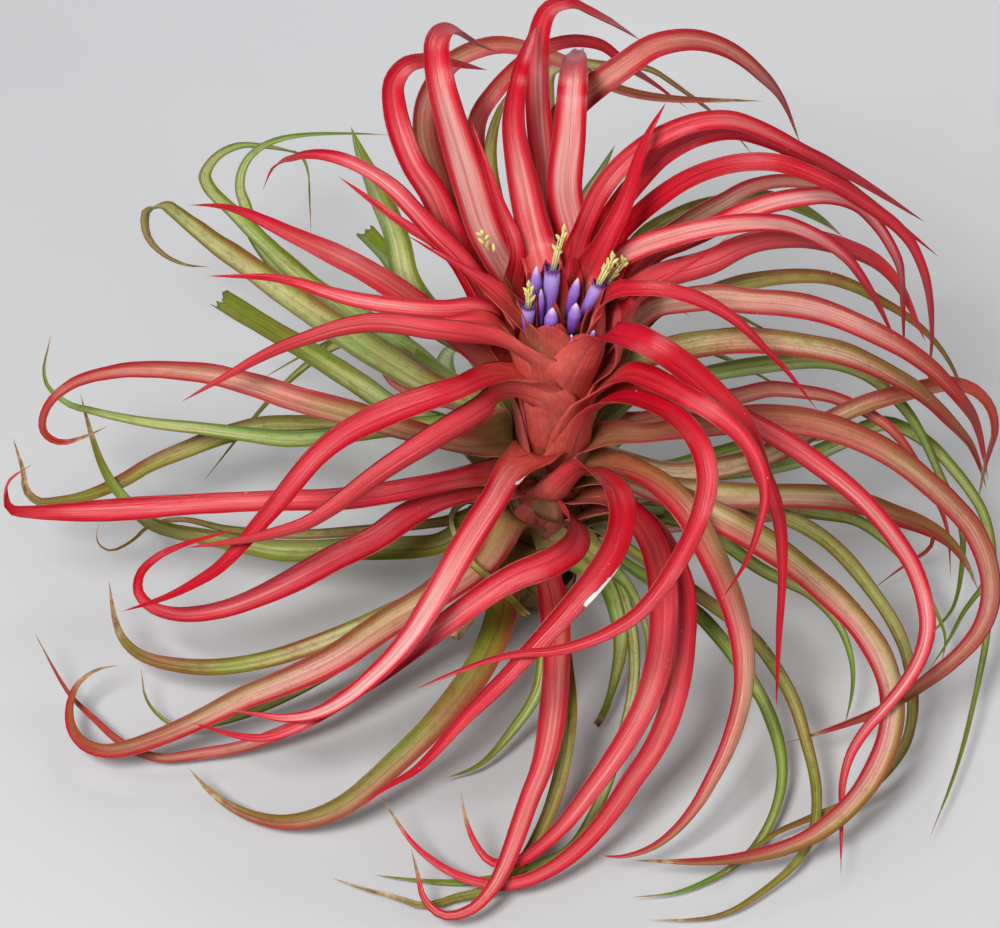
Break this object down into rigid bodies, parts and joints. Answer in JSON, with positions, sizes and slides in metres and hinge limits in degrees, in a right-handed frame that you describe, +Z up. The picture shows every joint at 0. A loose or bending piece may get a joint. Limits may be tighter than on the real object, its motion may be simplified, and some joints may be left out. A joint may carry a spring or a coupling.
{
  "type": "air plant",
  "caption": "Tillandsia brachycaulos air plant in flower: a rosette of long channelled red and green leaves that arch and curl back on a leafy stem, with violet flowers in the crown.",
  "frame": {"origin": "centre of the stem's flat lower end, which the plant stands on", "axes": "+Z up along the stem, -Y towards the side that the picture was taken from, +X to the picture's right"},
  "size_m": [0.2717, 0.2553, 0.1579],
  "materials": {
    "sheath_brown_red": "leaf sheaths, satin to matte",
    "leaf_red": "living leaf, satin, fine lengthwise veins",
    "leaf_salmon": "living leaf, satin, fine lengthwise veins",
    "leaf_olive": "living leaf, satin, mottled",
    "leaf_green": "living leaf, satin, mottled",
    "petal_violet": "petal, satin",
    "pollen_yellow": "stamens, matte"
  },
  "bodies": {
    "root": {"stem_with_leaves": "sheath_brown_red", "leaf_back_1": "leaf_red", "leaf_back_2": "leaf_red", "leaf_back_3": "leaf_red", "leaf_back_4": "leaf_red", "leaf_back_5": "leaf_red", "leaf_back_6": "leaf_salmon", "leaf_back_7": "leaf_salmon", "leaf_back_8": "leaf_salmon", "leaf_back_9": "leaf_red", "leaf_right_1": "leaf_red", "leaf_right_2": "leaf_red", "leaf_right_3": "leaf_red", "leaf_right_4": "leaf_red", "leaf_right_5": "leaf_red", "leaf_right_6": "leaf_red", "leaf_right_8": "leaf_red", "leaf_right_9": "leaf_red", "leaf_right_10": "leaf_red", "leaf_right_11": "leaf_red", "leaf_front_1": "leaf_red", "leaf_front_2": "leaf_red", "leaf_front_3": "leaf_red", "leaf_front_4": "leaf_red", "leaf_front_5": "leaf_red", "leaf_front_6": "leaf_salmon", "leaf_front_7": "leaf_salmon", "leaf_front_8": "leaf_salmon", "leaf_left_1": "leaf_red", "leaf_left_2": "leaf_red", "leaf_left_3": "leaf_red", "leaf_left_4": "leaf_red", "leaf_left_5": "leaf_red", "leaf_left_6": "leaf_red", "leaf_left_8": "leaf_red", "leaf_left_9": "leaf_red", "leaf_left_11": "leaf_salmon", "leaf_left_12": "leaf_salmon", "leaf_low_right_1": "leaf_salmon", "leaf_low_right_3": "leaf_olive", "leaf_low_right_6": "leaf_olive", "leaf_low_right_7": "leaf_salmon", "leaf_low_right_8": "leaf_salmon", "leaf_low_right_10": "leaf_salmon", "leaf_low_front_5": "leaf_olive", "leaf_low_left_2": "leaf_salmon", "leaf_low_left_7": "leaf_green", "leaf_low_left_9": "leaf_olive", "flower_1": "petal_violet", "flower_2": "petal_violet", "flower_3": "petal_violet", "flower_4": "petal_violet", "bud_1": "petal_violet", "bud_2": "petal_violet", "bud_3": "petal_violet", "bud_4": "petal_violet", "stamens_1": "pollen_yellow", "stamens_2": "pollen_yellow", "stamens_3": "pollen_yellow", "stamens_4": "pollen_yellow"}
  },
  "joints": []
}
